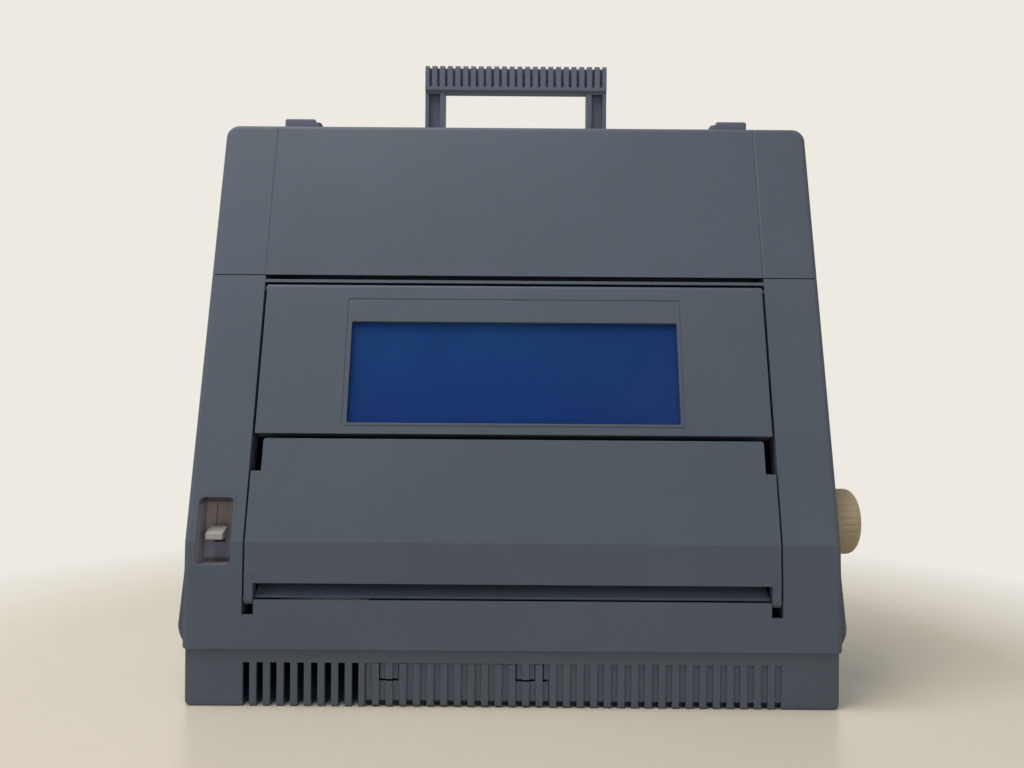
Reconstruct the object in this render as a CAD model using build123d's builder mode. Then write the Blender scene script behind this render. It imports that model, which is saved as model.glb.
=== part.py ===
from build123d import *
from math import acos, atan2, cos, degrees, radians, sin, tan
import os

# Portable electronic typewriter, standing on its rear face with the keyboard cover closed.
# Millimetres. X runs across the machine, +Y towards the base and its feet, +Z towards the
# keyboard and the handle. The origin is the middle of the rear standing face.

# Case
body_width = 405.0
body_length = 378.4
body_depth = 139.0
wall = 2.8
slope_angle = 16.04
crease_z = 100.4
crease_drop = 3.575
tray_depth = 31.5
band_height = 35.4
band_inset = 1.8
band_sink = 2.0
cover_length = 108.6
corner_radius = 9.0
edge_radius = 4.0
band_edge_radius = 1.5
band_corner_radius = 3.5
seam_gap = 0.6

# Grooves and vents in the lower band
groove_count = 40
vent_count = 9
vent_depth = 14.0
groove_pitch = 8.36
groove_width = 4.2
groove_depth = 1.2
groove_top = 27.0
notch_depth = 6.0
notch_height = 4.0

# Cord compartment in the lower band
door_first_groove = 9
door_last_groove = 21
door_gap = 0.35
door_thickness = 2.2
door_lip = 8.0
compartment_depth = 50.0
compartment_wall = 2.0
tongue_width = 12.0
tongue_bottom = 15.9
tongue_gap = 1.4
inlet_width = 30.0
inlet_height = 20.0
inlet_depth = 18.0

# Bay in the top face
bay_width = 332.0
bay_bottom = 65.0
rail_thickness = 2.0
rail_gap = 2.6
bay_flange = 2.0
bay_flange_depth = 15.0
slot_drop = 9.0
slot_width = 7.2

# Display unit
display_bottom = 166.4
display_side_gap = 1.75
display_depth = 14.0
bezel_thickness = 2.5
bezel_wall = 2.0
window_width = 213.4
window_bottom = 173.3
window_top = 239.1
window_thickness = 2.0
window_ledge = 2.0
lcd_thickness = 5.0
board_thickness = 1.6
pivot_inset = 3.2
frame_line_width = 220.0
frame_line_top = 254.5
line_groove_width = 1.6
line_groove_depth = 0.35
frame_line = 1.4
frame_line_depth = 0.3
frame_corner = 2.5

# Paper support
support_bottom = 75.4
support_top = 163.1
support_side_gap = 1.2
support_thickness = 3.0
support_rim = 8.0
support_notch = 6.4
support_notch_z = 142.7
support_corner = 1.8
support_arm_width = 5.3
support_pivot_z = 65.2
support_pivot_depth = 4.0
support_eye_radius = 3.4
pin_radius = 1.9
running_clearance = 0.05

# Platen and paper feed
platen_y = -26.0
platen_z = 110.0
platen_radius = 17.0
platen_length = 320.0
shaft_radius = 4.0
knob_radius = 21.2
knob_length = 18.8
knob_edge_radius = 6.0
knob_gap = 1.5
frame_offset = 168.0
frame_thickness = 2.0
pan_gap = 2.5
pan_thickness = 1.0
feed_radius = 6.0
feed_shaft_radius = 2.5
feed_angle = -50.0
feed_length = 24.0
gear_module = 0.8
platen_teeth = 50
idler_teeth = 24
pinion_teeth = 12
gear_width = 6.0
gear_play = 0.15
motor_radius = 17.5
motor_length = 24.0
motor_shaft_radius = 1.5
pulley_axle_radius = 2.0

# Paper bail
bail_roller_radius = 5.0
bail_rod_radius = 1.5
bail_angle = 130.0
bail_arm = 23.0

# Release lever
lever_left = -195.0
lever_right = -173.6
lever_bottom = 86.3
lever_top = 126.8
lever_depth = 17.0
plate_wall = 1.2
lever_pivot_y = 14.0
lever_pivot_z = 105.4
lever_tab_width = 10.5
lever_tab_thickness = 3.3
lever_tab_y = -61.5
lever_tab_depth = 11.0
lever_tab_rise = 3.6
lever_drop = 3.9
recess_corner = 3.0
shield_radius = 58.3
shield_height = 38.0
release_shaft_radius = 3.0

# Carriage
rod_radius = 4.0
rod_y = 52.0
rod_low_z = 136.4
rod_high_z = 165.4
carriage_half_width = 35.0
wheel_y = 8.0
wheel_z = 129.4
wheel_radius = 33.4
wheel_thickness = 0.8
petal_count = 60
wheel_motor_radius = 18.0
wheel_motor_length = 24.0
hammer_radius = 2.5
hammer_gap = 2.2
cassette_depth = 10.8
cassette_top = 159.4
tray_y = -33.2
tray_thickness = 2.0
spool_radius = 8.0

# Carriage drive
pulley_x = 140.0
belt_z = 196.4
belt_y = 30.0
belt_width = 6.0
belt_thickness = 1.2
pulley_radius = 8.0
pulley_flange = 10.0
drive_motor_radius = 21.0
drive_motor_length = 20.0
clamp_half_width = 8.0

# Power supply and electronics
core_left = -163.0
core_width = 62.0
core_height = 48.0
core_stack = 24.0
core_z = 22.4
coil_overhang = 10.0
limb_width = 20.0
power_board_width = 140.0
power_board_z = 43.4
power_board_length = 58.0
main_board_width = 232.0
main_board_z = 183.4
main_board_length = 80.0
standoff = 5.0
standoff_radius = 3.5

# Keyboard
deck_depth = 18.0
deck_thickness = 2.0
deck_side_gap = 0.5
key_pitch = 19.05
key_gap = 0.9
key_top_depth = 10.0
key_height = 8.5
key_taper = 14.0
first_row_u = 188.0
stem_radius = 3.0
stem_length = 5.0
switch_size = 14.0
switch_top_depth = 22.0
keyboard_board_depth = 27.0

# Carrying handle
handle_width = 133.2
handle_arm_width = 14.6
handle_y = 52.0
handle_thickness = 12.0
grip_bottom = 413.0
grip_height = 19.4
grip_groove_count = 23
grip_groove_width = 2.0
grip_groove_depth = 3.6
grip_notch = 1.2
arm_tail = 47.0
arm_recess = 4.0
arm_set_back = 1.5
outer_rim = 2.6
inner_rim = 3.8
channel_end = 1.0
handle_clearance = 0.4

# Latches on the keyboard cover
latch_x = 147.5
latch_width = 25.2
latch_depth = 11.0
latch_height = 5.9
latch_step = 4.5
latch_travel = 6.0
latch_y = 24.0
latch_clearance = 0.3

# Lugs, screws, feet and switch
lug_top = 86.4
lug_foot_z = 37.4
lug_peak_z = 48.8
lug_reach = 3.0
lug_y = -43.5
lug_width = 44.0
deck_corner = 2.5
post_x = 186.0
post_low_z = 43.4
post_high_z = 241.4
post_radius = 4.5
screw_radius = 1.5
screw_head_radius = 3.0
screw_head = 2.4
screw_length = 40.0
foot_radius = 9.0
foot_height = 4.5
foot_x = 170.0
foot_low_z = 30.0
foot_high_z = 345.0
switch_y = 12.0
switch_z = 61.4
switch_width = 13.0
switch_length = 19.0
switch_rim = 2.0
switch_rim_height = 1.2
switch_body_depth = 20.0
switch_pin_depth = 1.6
switch_pin_radius = 1.2

# Derived places
slope = tan(radians(slope_angle))
slope_cos = cos(radians(slope_angle))
slope_sin = sin(radians(slope_angle))
base_y = body_depth / 2
deck_y = -body_depth / 2
crease_y = deck_y + crease_drop
parting_y = base_y - tray_depth
floor_y = base_y - wall
band_y = deck_y + band_sink
band_half = body_width / 2 - band_inset
half_width = body_width / 2
seam_z = body_length - cover_length
cover_z = seam_z + seam_gap
rail_top = seam_z - rail_gap
rail_z = rail_top - rail_thickness
bay_half = bay_width / 2
front_inner_z = body_length - wall

face_plane = Plane(
    origin=(0, crease_y, crease_z), x_dir=(1, 0, 0), z_dir=(0, -slope_cos, slope_sin)
)


def face_y(z):
    """Depth of the outer top face at a height z."""
    if z < crease_z:
        return crease_y - crease_drop * (crease_z - z) / (crease_z - band_height)
    return crease_y + (z - crease_z) * slope


def face_u(z):
    """Distance from the crease along the sloping face, for a height z on the face."""
    return (z - crease_z) / slope_cos


def under_face(z, depth):
    """Point (y, z) that lies depth beneath the sloping face, level with height z on it."""
    return (face_y(z) + depth * slope_cos, z - depth * slope_sin)


def block(x, y, z, mode=Mode.ADD):
    """Box from pairs of limits along X, Y and Z, in the current part."""
    centre = ((x[0] + x[1]) / 2, (y[0] + y[1]) / 2, (z[0] + z[1]) / 2)
    with Locations(centre):
        Box(abs(x[1] - x[0]), abs(y[1] - y[0]), abs(z[1] - z[0]), mode=mode)


def x_rod(x, y, z, radius, mode=Mode.ADD):
    """Cylinder along X between two limits."""
    with Locations(((x[0] + x[1]) / 2, y, z)):
        Cylinder(radius, abs(x[1] - x[0]), rotation=(0, 90, 0), mode=mode)


def y_rod(x, y, z, radius, mode=Mode.ADD):
    """Cylinder along Y between two limits."""
    with Locations((x, (y[0] + y[1]) / 2, z)):
        Cylinder(radius, abs(y[1] - y[0]), rotation=(90, 0, 0), mode=mode)


def z_rod(x, y, z, radius, mode=Mode.ADD):
    """Cylinder along Z between two limits."""
    with Locations((x, y, (z[0] + z[1]) / 2)):
        Cylinder(radius, abs(z[1] - z[0]), mode=mode)


def side_slab(points, x, mode=Mode.ADD):
    """Slab between two limits along X whose side outline is a list of (y, z) points."""
    with BuildSketch(Plane.YZ.offset(x[0])) as outline:
        with BuildLine():
            Polyline(*points, close=True)
        make_face()
    extrude(outline.sketch, amount=x[1] - x[0], mode=mode)


def face_slab(x, u, depth, mode=Mode.ADD, radius=0.0):
    """Slab parallel to the sloping face, from limits along X, along the slope and in depth."""
    with BuildSketch(face_plane.offset(-depth[1])) as outline:
        with Locations(((x[0] + x[1]) / 2, (u[0] + u[1]) / 2)):
            if radius > 0:
                RectangleRounded(x[1] - x[0], u[1] - u[0], radius)
            else:
                Rectangle(x[1] - x[0], u[1] - u[0])
    extrude(outline.sketch, amount=depth[1] - depth[0], mode=mode)


def both_sides(x):
    """Pairs of limits along X on the right and on the left."""
    return [(x[0], x[1]), (-x[1], -x[0])]


def gear_outline(plane, teeth, turn):
    """Gear with straight-sided teeth; turn is the angle of its first tooth in degrees."""
    pitch_radius = gear_module * teeth / 2
    root = pitch_radius - 1.25 * gear_module
    tip = pitch_radius + 0.85 * gear_module
    half_root = 0.95 * gear_module
    half_tip = 0.30 * gear_module
    with BuildSketch(plane) as outline:
        Circle(root)
        with PolarLocations(0, teeth, start_angle=turn):
            Polygon(
                (root - 0.5, -half_root),
                (tip, -half_tip),
                (tip, half_tip),
                (root - 0.5, half_root),
                align=None,
            )
    return outline.sketch


# Bottom case: tray, lower band with vents and grooves, cord compartment, posts and stands
def groove_x(index):
    """Left edge of a groove of the band."""
    span = (groove_count - 1) * groove_pitch + groove_width
    return -span / 2 + index * groove_pitch


door_left = groove_x(door_first_groove) - door_gap
door_right = groove_x(door_last_groove + 1) + groove_width - door_gap
tongue_spans = [
    (groove_x(door_first_groove + 1), groove_x(door_first_groove + 1) + tongue_width),
    (groove_x(door_last_groove - 1), groove_x(door_last_groove - 1) + tongue_width),
    (groove_x(door_last_groove + 1), door_right + 1),
]
compartment_left = door_left + compartment_wall
compartment_right = door_right - compartment_wall
compartment_floor = band_y + compartment_depth
inlet_x = compartment_left + inlet_width
inlet_z = band_height / 2
board_y = floor_y - standoff - board_thickness
feet_places = [(side * foot_x, z) for side in (-1, 1) for z in (foot_low_z, foot_high_z)]
post_places = [(side * post_x, z) for side in (-1, 1) for z in (post_low_z, post_high_z)]
power_left = -power_board_width / 2
main_left = -main_board_width / 2
standoff_places = [
    (x, z)
    for x in (power_left + standoff_radius, -power_left - standoff_radius)
    for z in (power_board_z + standoff_radius, power_board_z + power_board_length - standoff_radius)
] + [
    (x, z)
    for x in (main_left + standoff_radius, -main_left - standoff_radius)
    for z in (main_board_z + standoff_radius, main_board_z + main_board_length - standoff_radius)
]
handle_half = handle_width / 2
handle_front = handle_y - handle_thickness / 2
handle_back = handle_y + handle_thickness / 2
handle_drop = grip_bottom + grip_height - body_length
pocket_bottom = grip_bottom - handle_drop - handle_clearance
pocket_y = (handle_front - handle_clearance, handle_back + handle_clearance)
arm_slot_x = (handle_half - handle_arm_width - handle_clearance, handle_half + handle_clearance)
motor_y = belt_y + belt_width / 2 + 3.0

with BuildPart() as bottom_case:
    side_slab(
        [
            (band_y, 0),
            (base_y, 0),
            (base_y, body_length),
            (parting_y, body_length),
            (parting_y, band_height),
            (band_y, band_height),
        ],
        (-band_half, band_half),
    )
    rear_corners = bottom_case.edges().filter_by(Axis.Y).group_by(Axis.Z)[0]
    fillet(rear_corners, band_corner_radius)
    far_corners = bottom_case.edges().filter_by(Axis.Y).group_by(Axis.Z)[-1]
    fillet(far_corners, corner_radius)
    base_edge = bottom_case.faces().sort_by(Axis.Y)[-1].edges()
    fillet(base_edge, band_corner_radius - 0.5)
    front_edges = bottom_case.faces().sort_by(Axis.Y)[0].edges().group_by(Axis.Z)[:-1]
    fillet([edge for group in front_edges for edge in group], band_edge_radius)
    side_slab(
        [
            (band_y + wall, wall),
            (floor_y, wall),
            (floor_y, front_inner_z),
            (parting_y - 1, front_inner_z),
            (parting_y - 1, band_height + 1),
            (band_y + wall, band_height + 1),
        ],
        (-band_half + wall, band_half - wall),
        Mode.SUBTRACT,
    )
    block(
        (door_left - compartment_wall, door_right + compartment_wall),
        (band_y + wall, compartment_floor + compartment_wall),
        (0, band_height - 1),
    )
    block(
        (compartment_left, compartment_right),
        (band_y + wall, compartment_floor),
        (wall, band_height - 1 - compartment_wall),
        Mode.SUBTRACT,
    )
    block((door_left, door_right), (band_y - 1, band_y + wall), (-1, groove_top), Mode.SUBTRACT)
    block(
        (compartment_left, compartment_right),
        (band_y, band_y + door_lip + door_gap),
        (-1, wall + 1),
        Mode.SUBTRACT,
    )
    for left, right in tongue_spans:
        block(
            (left + 2 * door_gap, right - door_gap),
            (band_y, band_y + wall),
            (tongue_bottom + tongue_gap, groove_top + 1),
        )
    for index in range(groove_count):
        left = groove_x(index)
        across = (left, left + groove_width)
        if index < vent_count:
            block(across, (band_y - 1, band_y + wall + 1), (-1, groove_top), Mode.SUBTRACT)
            block(across, (band_y - 1, band_y + vent_depth), (-1, wall + 1), Mode.SUBTRACT)
        block(across, (band_y - 1, band_y + groove_depth), (-1, groove_top), Mode.SUBTRACT)
        block(across, (band_y - 1, band_y + notch_depth), (-1, notch_height), Mode.SUBTRACT)
    block(
        (inlet_x - inlet_width / 2 + switch_rim, inlet_x + inlet_width / 2 - switch_rim),
        (compartment_floor - 1, compartment_floor + compartment_wall + 1),
        (inlet_z - inlet_height / 2 + switch_rim, inlet_z + inlet_height / 2 - switch_rim),
        Mode.SUBTRACT,
    )
    for x, z in post_places:
        y_rod(x, (parting_y, floor_y), z, post_radius)
        y_rod(x, (parting_y - 1, base_y + 1), z, screw_radius, Mode.SUBTRACT)
        y_rod(x, (base_y - wall - screw_head, base_y + 1), z, screw_head_radius, Mode.SUBTRACT)
    for x, z in standoff_places:
        y_rod(x, (floor_y - standoff, floor_y), z, standoff_radius)
    y_rod(-pulley_x, (belt_y + pulley_flange / 2, floor_y), belt_z, post_radius)
    y_rod(-pulley_x, (belt_y - belt_width / 2, floor_y), belt_z, pulley_axle_radius)
    block(
        (pulley_x - drive_motor_radius / 2, pulley_x + drive_motor_radius / 2),
        (motor_y + drive_motor_length, floor_y),
        (belt_z - drive_motor_radius / 2, belt_z + drive_motor_radius / 2),
    )
    block(
        (-handle_half - 2 * handle_clearance - wall, handle_half + 2 * handle_clearance + wall),
        (pocket_y[0] - compartment_wall, pocket_y[1] + compartment_wall),
        (pocket_bottom - compartment_wall, front_inner_z),
    )
    block(
        (-handle_half - handle_clearance, handle_half + handle_clearance),
        pocket_y,
        (pocket_bottom, body_length + 1),
        Mode.SUBTRACT,
    )
    for x in both_sides(arm_slot_x):
        block(x, pocket_y, (pocket_bottom - compartment_wall - 1, pocket_bottom + 1), Mode.SUBTRACT)


# Top case: rear deck, sloping face, bay for display and paper support, lugs and posts
def offset_face(z, depth):
    """Depth of a surface that runs beneath the top face at a steady distance."""
    if z < crease_z:
        return face_y(z) + depth
    return face_y(z) + depth / slope_cos


pivot_y = face_y(support_pivot_z) + support_pivot_depth
corner_y, corner_z = under_face(rail_z - seam_gap, pivot_inset)
hinge_y = corner_y - pivot_inset * slope_sin
hinge_z = corner_z - pivot_inset * slope_cos

with BuildPart() as top_case:
    side_slab(
        [
            (deck_y, band_height),
            (crease_y, crease_z),
            (face_y(seam_z), seam_z),
            (parting_y, seam_z),
            (parting_y, band_height),
        ],
        (-half_width, half_width),
    )
    side_edges = [
        edge
        for edge in top_case.edges()
        if edge.center().Y < crease_y + 0.5 * slope * (seam_z - crease_z) + crease_drop
        and abs(edge.center().X) > half_width - 0.1
        and edge.length > wall
        and edge.center().Y < face_y(edge.center().Z) + 0.1
    ]
    fillet(side_edges, edge_radius)
    side_slab(
        [
            (deck_y + wall, band_height - 1),
            (crease_y + wall, crease_z),
            (offset_face(rail_z, wall), rail_z),
            (parting_y + 1, rail_z),
            (parting_y + 1, band_height - 1),
        ],
        (-half_width + wall, half_width - wall),
        Mode.SUBTRACT,
    )
    for x in both_sides((bay_half, bay_half + bay_flange)):
        side_slab(
            [
                (offset_face(bay_bottom - slot_drop, wall / 2), bay_bottom - slot_drop),
                (offset_face(crease_z, wall / 2), crease_z),
                (offset_face(rail_z, wall / 2), rail_z),
                (offset_face(rail_z, bay_flange_depth), rail_z),
                (offset_face(crease_z, bay_flange_depth), crease_z),
                (offset_face(bay_bottom - slot_drop, bay_flange_depth), bay_bottom - slot_drop),
            ],
            x,
        )
    block((-bay_half, bay_half), (deck_y - 1, parting_y - 1), (bay_bottom, rail_z), Mode.SUBTRACT)
    block((-bay_half, bay_half), (deck_y - 1, parting_y + 1), (rail_top, seam_z + 1), Mode.SUBTRACT)
    slot_z = (bay_bottom - slot_drop, bay_bottom + 1)
    for x in both_sides((bay_half - slot_width, bay_half)):
        block(x, (deck_y - 1, crease_y + bay_flange_depth), slot_z, Mode.SUBTRACT)
    for x in both_sides((bay_half - 1, bay_half + bay_flange)):
        x_rod(x, pivot_y, support_pivot_z, pin_radius + running_clearance, Mode.SUBTRACT)
        x_rod(x, hinge_y, hinge_z, pin_radius + running_clearance, Mode.SUBTRACT)
    side_slab(
        [
            (face_y(lever_bottom - plate_wall) - 1, lever_bottom - plate_wall),
            (face_y(lever_bottom - plate_wall) + lever_depth, lever_bottom - plate_wall),
            (face_y(lever_top) + lever_depth, lever_top + plate_wall),
            (face_y(lever_top) - 1, lever_top + plate_wall),
            (crease_y - 1, crease_z),
        ],
        (lever_left - plate_wall, lever_right + plate_wall),
        Mode.SUBTRACT,
    )
    x_rod((half_width - wall - 1, half_width + 1), platen_y, platen_z, shaft_radius + 0.8, Mode.SUBTRACT)
    block(
        (-half_width - 1, -half_width + wall + 1),
        (switch_y - switch_width / 2, switch_y + switch_width / 2),
        (switch_z - switch_length / 2, switch_z + switch_length / 2),
        Mode.SUBTRACT,
    )
    for x, z in post_places:
        y_rod(x, (face_y(z) + wall / 2, parting_y), z, post_radius)
        y_rod(x, (parting_y - screw_length, parting_y + 1), z, screw_radius, Mode.SUBTRACT)
    for side in (-1, 1):
        with BuildSketch(Plane.XZ.offset(-lug_y - lug_width / 2)) as lug:
            root = side * (half_width - wall / 2)
            peak = (side * (half_width + lug_reach), lug_peak_z)
            knee = (side * (half_width + 0.3 * lug_reach), (lug_top + lug_peak_z) / 2)
            heel = (side * (half_width + 0.8 * lug_reach), (2 * lug_peak_z + lug_foot_z) / 3)
            with BuildLine():
                ThreePointArc((root, lug_top + wall), knee, peak)
                ThreePointArc(peak, heel, (root, lug_foot_z))
                Line((root, lug_foot_z), (root, lug_top + wall))
            make_face()
        extrude(lug.sketch, amount=lug_width)
        with BuildSketch(Plane.XZ.offset(-parting_y - 1)) as corner:
            centre = (side * (half_width - deck_corner), band_height + deck_corner)
            square = (side * (half_width - deck_corner / 2), band_height + deck_corner / 2)
            with Locations(square):
                Rectangle(deck_corner, deck_corner)
            with Locations(centre):
                Circle(deck_corner, mode=Mode.SUBTRACT)
        extrude(corner.sketch, amount=body_depth, mode=Mode.SUBTRACT)


# Keyboard cover with its two latches
line_half = bay_half

with BuildPart() as keyboard_cover:
    side_slab(
        [
            (face_y(cover_z), cover_z),
            (face_y(body_length), body_length),
            (parting_y - seam_gap, body_length),
            (parting_y - seam_gap, cover_z),
        ],
        (-half_width, half_width),
    )
    front_corners = keyboard_cover.edges().filter_by(Axis.Y).group_by(Axis.Z)[-1]
    fillet(front_corners, corner_radius)
    rim_edges = keyboard_cover.faces().sort_by(Axis.Y)[0].edges().group_by(Axis.Z)[1:]
    fillet([edge for group in rim_edges for edge in group], edge_radius)
    side_slab(
        [
            (offset_face(cover_z - 1, wall), cover_z - 1),
            (offset_face(front_inner_z, wall), front_inner_z),
            (parting_y + 1, front_inner_z),
            (parting_y + 1, cover_z - 1),
        ],
        (-half_width + wall, half_width - wall),
        Mode.SUBTRACT,
    )
    cover_end = Plane(
        origin=(0, face_y(cover_z), cover_z), x_dir=(1, 0, 0), z_dir=(0, slope_sin, slope_cos)
    )
    with BuildSketch(cover_end) as line_grooves:
        for x in (-line_half, line_half):
            with BuildLine():
                Polyline(
                    (x - line_groove_width / 2, -1),
                    (x - line_groove_width / 2, 0),
                    (x, line_groove_depth),
                    (x + line_groove_width / 2, 0),
                    (x + line_groove_width / 2, -1),
                    close=True,
                )
            make_face()
    extrude(line_grooves.sketch, amount=cover_length + edge_radius, mode=Mode.SUBTRACT)
    extrude(line_grooves.sketch, amount=-2, mode=Mode.SUBTRACT)
    latch_slot_half = latch_width / 4 + latch_travel / 2
    for side in (-1, 1):
        block(
            (side * latch_x - latch_slot_half, side * latch_x + latch_slot_half),
            (latch_y - latch_depth / 4 - latch_clearance, latch_y + latch_depth / 4 + latch_clearance),
            (front_inner_z - 1, body_length + 1),
            Mode.SUBTRACT,
        )


def make_latch(side):
    """Latch slider on one side, drawn with its neck at the outer end of the slot."""
    x = side * (latch_x + latch_travel / 2 - latch_clearance)
    with BuildPart() as latch:
        with BuildSketch(Plane.XY.offset(body_length + latch_clearance)):
            with Locations((x, latch_y)):
                RectangleRounded(latch_width, latch_depth, 2.0)
        extrude(amount=latch_height)
        fillet(latch.faces().sort_by(Axis.Z)[-1].edges(), 1.5)
        step = (x - side * latch_width / 2, x - side * (latch_width / 2 - latch_step))
        block(
            (min(step) - 1, max(step)) if side > 0 else (min(step), max(step) + 1),
            (latch_y - latch_depth, latch_y + latch_depth),
            (body_length + latch_clearance + 0.55 * latch_height, body_length + 2 * latch_height),
            Mode.SUBTRACT,
        )
        block(
            (x - latch_width / 4, x + latch_width / 4),
            (latch_y - latch_depth / 4, latch_y + latch_depth / 4),
            (front_inner_z - latch_clearance, body_length + latch_clearance),
        )
        block(
            (x - latch_width / 3, x + latch_width / 3),
            (latch_y - latch_depth / 2, latch_y + latch_depth / 2),
            (front_inner_z - latch_clearance - wall, front_inner_z - latch_clearance),
        )
    return latch


right_cover_latch = make_latch(1)
left_cover_latch = make_latch(-1)


# Carrying handle: two channel arms and a grooved grip
with BuildPart() as carry_handle:
    grip_y = (handle_front, handle_back)
    arm_bottom = grip_bottom - grip_height - arm_tail
    block((-handle_half, handle_half), grip_y, (grip_bottom, grip_bottom + grip_height))
    grip_edges = carry_handle.edges().filter_by(Axis.X)
    fillet(grip_edges, 2.0)
    arm_front = handle_front + arm_set_back
    for x in both_sides((handle_half - handle_arm_width, handle_half)):
        block(x, (arm_front, handle_back), (arm_bottom - wall, grip_bottom + grip_height / 2))
    channel = (handle_half - handle_arm_width + inner_rim, handle_half - outer_rim)
    for x in both_sides(channel):
        block(
            x,
            (arm_front - 1, arm_front + arm_recess),
            (arm_bottom, grip_bottom - channel_end),
            Mode.SUBTRACT,
        )
    grip_pitch = handle_width / (grip_groove_count + 0.4)
    for index in range(grip_groove_count):
        centre = (index - (grip_groove_count - 1) / 2) * grip_pitch
        across = (centre - grip_groove_width / 2, centre + grip_groove_width / 2)
        block(
            across,
            (handle_front - 1, handle_front + grip_groove_depth),
            (grip_bottom + 0.19 * grip_height, grip_bottom + grip_height + 1),
            Mode.SUBTRACT,
        )
        block(
            across,
            (handle_front - 1, handle_back - grip_groove_depth),
            (grip_bottom + grip_height - grip_notch, grip_bottom + grip_height + 1),
            Mode.SUBTRACT,
        )


# Display unit: bezel with its moulded pins, window, liquid crystal panel, its board, rear shell
display_top = rail_z - seam_gap
display_u = (face_u(display_bottom), face_u(display_top))
display_half = bay_half - display_side_gap
window_half = window_width / 2
window_u = (face_u(window_bottom), face_u(window_top))
shell_split = bezel_thickness + window_thickness + lcd_thickness - 1.0
lcd_depth = bezel_thickness + window_thickness
lcd_board_depth = lcd_depth + lcd_thickness
ledge_half = window_half + window_ledge
ledge_u = (window_u[0] - window_ledge, window_u[1] + window_ledge)

with BuildPart() as display_bezel:
    face_slab((-display_half, display_half), display_u, (0, shell_split))
    hinge_edge = display_bezel.edges().filter_by(Axis.X).sort_by(Axis.Z)[-2:]
    fillet(hinge_edge.sort_by(Axis.Y)[0], pivot_inset - 0.2)
    face_slab(
        (-display_half + bezel_wall, display_half - bezel_wall),
        (display_u[0] + bezel_wall, display_u[1] - bezel_wall),
        (bezel_thickness, shell_split + 1),
        Mode.SUBTRACT,
    )
    face_slab((-window_half, window_half), window_u, (-1, bezel_thickness + 1), Mode.SUBTRACT, radius=1.0)
    frame_u = (window_u[0] - 2 * window_ledge + 1, face_u(frame_line_top))
    frame_half = frame_line_width / 2
    inner_half = frame_half - frame_line
    inner_u = (frame_u[0] + frame_line, frame_u[1] - frame_line)
    frame_depth = (-1, frame_line_depth)
    face_slab((-frame_half, frame_half), frame_u, frame_depth, Mode.SUBTRACT, radius=frame_corner)
    inner_corner = frame_corner - frame_line
    face_slab((-inner_half, inner_half), inner_u, (0, frame_line_depth), radius=inner_corner)
    face_slab((-window_half, window_half), window_u, (-1, bezel_thickness + 1), Mode.SUBTRACT, radius=1.0)
    for x in both_sides((display_half - bezel_wall - 6.0, display_half)):
        x_rod(x, hinge_y, hinge_z, pivot_inset)
    for x in both_sides((display_half - bezel_wall, bay_half + bay_flange - 0.2)):
        x_rod(x, hinge_y, hinge_z, pin_radius)

with BuildPart() as display_window:
    face_slab((-ledge_half, ledge_half), ledge_u, (bezel_thickness, lcd_depth))

with BuildPart() as lcd_panel:
    face_slab((-ledge_half, ledge_half), ledge_u, (lcd_depth, lcd_board_depth))

lcd_board_half = ledge_half + 8.0
lcd_board_u = (ledge_u[0], ledge_u[1] + 8.0)
with BuildPart() as lcd_board:
    lcd_board_reach = (lcd_board_depth, lcd_board_depth + board_thickness)
    face_slab((-lcd_board_half, lcd_board_half), lcd_board_u, lcd_board_reach)
    for column in range(8):
        left = -window_half + (column + 0.3) * window_width / 8
        face_slab(
            (left, left + 11.0),
            (ledge_u[1] - 14.0, ledge_u[1]),
            (lcd_board_depth + board_thickness, lcd_board_depth + board_thickness + 0.6),
        )

with BuildPart() as display_rear_shell:
    face_slab((-display_half, display_half), display_u, (shell_split, display_depth))
    face_slab(
        (-display_half + bezel_wall, display_half - bezel_wall),
        (display_u[0] + bezel_wall, display_u[1] - bezel_wall - pivot_inset),
        (shell_split - 1, display_depth - bezel_wall),
        Mode.SUBTRACT,
    )
    for x in both_sides((lcd_board_half - 4.0, lcd_board_half)):
        face_slab(x, lcd_board_u, (lcd_board_depth + board_thickness, display_depth - bezel_wall + 0.5))


# Paper support with its arms and their moulded pins
support_half = bay_half - support_side_gap
arm_outer = support_half
arm_inner = arm_outer - support_arm_width


def support_strip(top, depth):
    """Side outline of a strip of the paper support between two depths beneath the face."""
    return [
        (offset_face(support_bottom, depth[0]), support_bottom),
        (offset_face(crease_z, depth[0]), crease_z),
        (face_y(top) + depth[0] * slope_cos, top - depth[0] * slope_sin),
        (face_y(top) + depth[1] * slope_cos, top - depth[1] * slope_sin),
        (offset_face(crease_z, depth[1]), crease_z),
        (offset_face(support_bottom, depth[1]), support_bottom),
    ]


with BuildPart() as paper_support:
    side_slab(support_strip(support_top, (0, support_thickness)), (-support_half, support_half))
    for x in both_sides((support_half - support_notch, support_half)):
        block(x, (deck_y, 0), (support_notch_z, support_top + 1), Mode.SUBTRACT)
    top_corners = [
        edge
        for edge in paper_support.edges()
        if abs(abs(edge.center().X) - (support_half - support_notch)) < 0.1
        and edge.center().Z > support_top - support_thickness
        and edge.length < support_thickness + 0.5
    ]
    fillet(top_corners, support_corner)
    for x in both_sides((support_half - bezel_wall, support_half)):
        side_slab(support_strip(support_notch_z, (support_thickness - 0.5, support_rim)), x)
    for x in both_sides((arm_inner, arm_outer)):
        side_slab(
            [
                (pivot_y - support_eye_radius, support_pivot_z),
                (offset_face(support_bottom, 0), support_bottom),
                (offset_face(support_bottom, 0), support_bottom + 6),
                (offset_face(support_bottom, support_rim), support_bottom + 6),
                (offset_face(support_bottom, support_rim), support_bottom),
                (pivot_y + support_eye_radius, support_pivot_z),
            ],
            x,
        )
        x_rod(x, pivot_y, support_pivot_z, support_eye_radius)
    for x in both_sides((arm_inner, bay_half + bay_flange - 0.2)):
        x_rod(x, pivot_y, support_pivot_z, pin_radius)


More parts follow.
